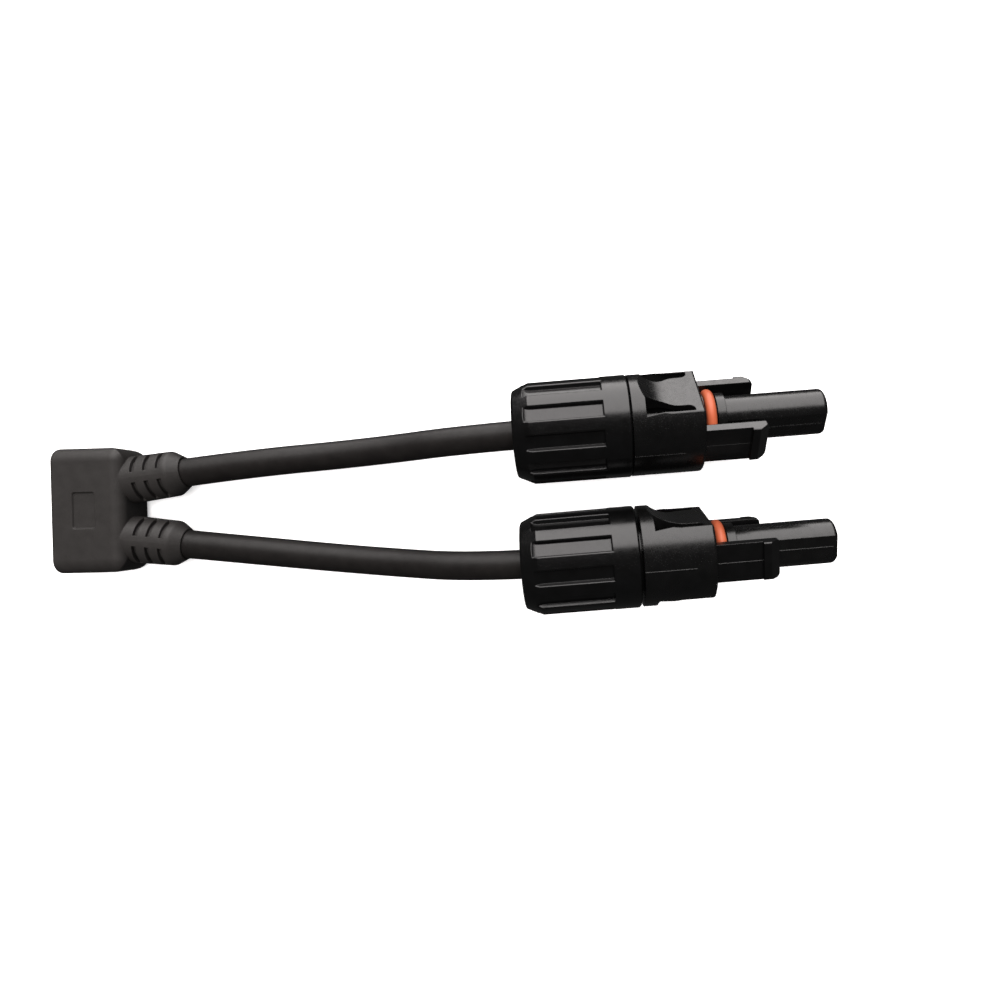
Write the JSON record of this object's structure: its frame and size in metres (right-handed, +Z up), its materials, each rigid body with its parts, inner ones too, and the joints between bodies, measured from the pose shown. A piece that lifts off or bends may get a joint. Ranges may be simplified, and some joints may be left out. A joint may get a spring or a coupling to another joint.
{
  "type": "solar cable branch connector",
  "caption": "Solar branch lead: moulded block, two black single-core cables, each into a fluted gland nut and a socket connector with latch arms and an orange seal ring.",
  "frame": {"origin": "on the surface that the lead lies on, under the middle of the assembly without its two cables", "axes": "+X from the branch block to the connector tips, +Z up, +Y towards connector a"},
  "size_m": [0.1458, 0.0448, 0.019],
  "materials": {
    "soft_pvc": "matte",
    "cable_sheath": "satin",
    "black_plastic": "satin",
    "probe_plastic": "satin",
    "silicone_orange": "satin",
    "seal_rubber": "matte",
    "copper": "brushed",
    "tinned_copper": "satin",
    "spring_steel": "satin",
    "core_insulation": "matte"
  },
  "bodies": {
    "lead": {"branch_moulding": "soft_pvc", "splice_core": "black_plastic", "splice_ferrule": "copper", "splice_tail_a": "copper", "cable_a": "cable_sheath", "gland_seal_a": "seal_rubber", "housing_a": "probe_plastic", "o_ring_a": "silicone_orange", "core_insulation_a": "core_insulation", "conductor_a": "copper", "contact_socket_a": "tinned_copper", "contact_spring_a": "spring_steel", "retaining_clip_a": "spring_steel", "splice_tail_b": "copper", "cable_b": "cable_sheath", "gland_seal_b": "seal_rubber", "housing_b": "probe_plastic", "o_ring_b": "silicone_orange", "core_insulation_b": "core_insulation", "conductor_b": "copper", "contact_socket_b": "tinned_copper", "contact_spring_b": "spring_steel", "retaining_clip_b": "spring_steel"},
    "clamp_cage_a": {"clamp_cage_a": "black_plastic"},
    "cap_nut_a": {"cap_nut_a": "black_plastic"},
    "latch_arm_upper_a": {"latch_arm_upper_a": "black_plastic"},
    "latch_arm_lower_a": {"latch_arm_lower_a": "black_plastic"},
    "clamp_cage_b": {"clamp_cage_b": "black_plastic"},
    "cap_nut_b": {"cap_nut_b": "black_plastic"},
    "latch_arm_upper_b": {"latch_arm_upper_b": "black_plastic"},
    "latch_arm_lower_b": {"latch_arm_lower_b": "black_plastic"}
  },
  "joints": [
    {"name": "cage_slide_a", "type": "slide", "parent": "lead", "child": "clamp_cage_a", "axis": [-0.9988, -0.0495, 0], "range_m": [0, 0.006]},
    {"name": "nut_screw_a", "type": "hinge", "parent": "clamp_cage_a", "child": "cap_nut_a", "pos_m": [0.0141, 0.01135, 0.0095], "axis": [-0.9988, -0.0495, 0], "range_deg": [0, 1441]},
    {"name": "latch_upper_a", "type": "hinge", "parent": "lead", "child": "latch_arm_upper_a", "pos_m": [0.0448, 0.00806, 0.01466], "axis": [-0.0362, 0.7305, 0.682], "range_deg": [0, 3.5], "stiffness_Nm_per_rad": 0.3},
    {"name": "latch_lower_a", "type": "hinge", "parent": "lead", "child": "latch_arm_lower_a", "pos_m": [0.04432, 0.01766, 0.00434], "axis": [0.0362, -0.7305, -0.682], "range_deg": [0, 3.5], "stiffness_Nm_per_rad": 0.3},
    {"name": "cage_slide_b", "type": "slide", "parent": "lead", "child": "clamp_cage_b", "axis": [-0.9985, -0.0541, 0], "range_m": [-0.0004, 0.0056]},
    {"name": "nut_screw_b", "type": "hinge", "parent": "clamp_cage_b", "child": "cap_nut_b", "pos_m": [0.015, -0.01311, 0.0095], "axis": [-0.9985, -0.0541, 0], "range_deg": [-97, 1345]},
    {"name": "latch_upper_b", "type": "hinge", "parent": "lead", "child": "latch_arm_upper_b", "pos_m": [0.04595, -0.01327, 0.01631], "axis": [-0.0522, 0.9645, 0.2588], "range_deg": [0, 3.5], "stiffness_Nm_per_rad": 0.3},
    {"name": "latch_lower_b", "type": "hinge", "parent": "lead", "child": "latch_arm_lower_b", "pos_m": [0.04576, -0.00962, 0.00269], "axis": [0.0522, -0.9645, -0.2588], "range_deg": [0, 3.5], "stiffness_Nm_per_rad": 0.3}
  ],
  "couplings": [
    {"joint": "nut_screw_a", "follows": "cage_slide_a", "rad_per_m": 4188.8},
    {"joint": "nut_screw_b", "follows": "cage_slide_b", "rad_per_m": 4188.8}
  ]
}
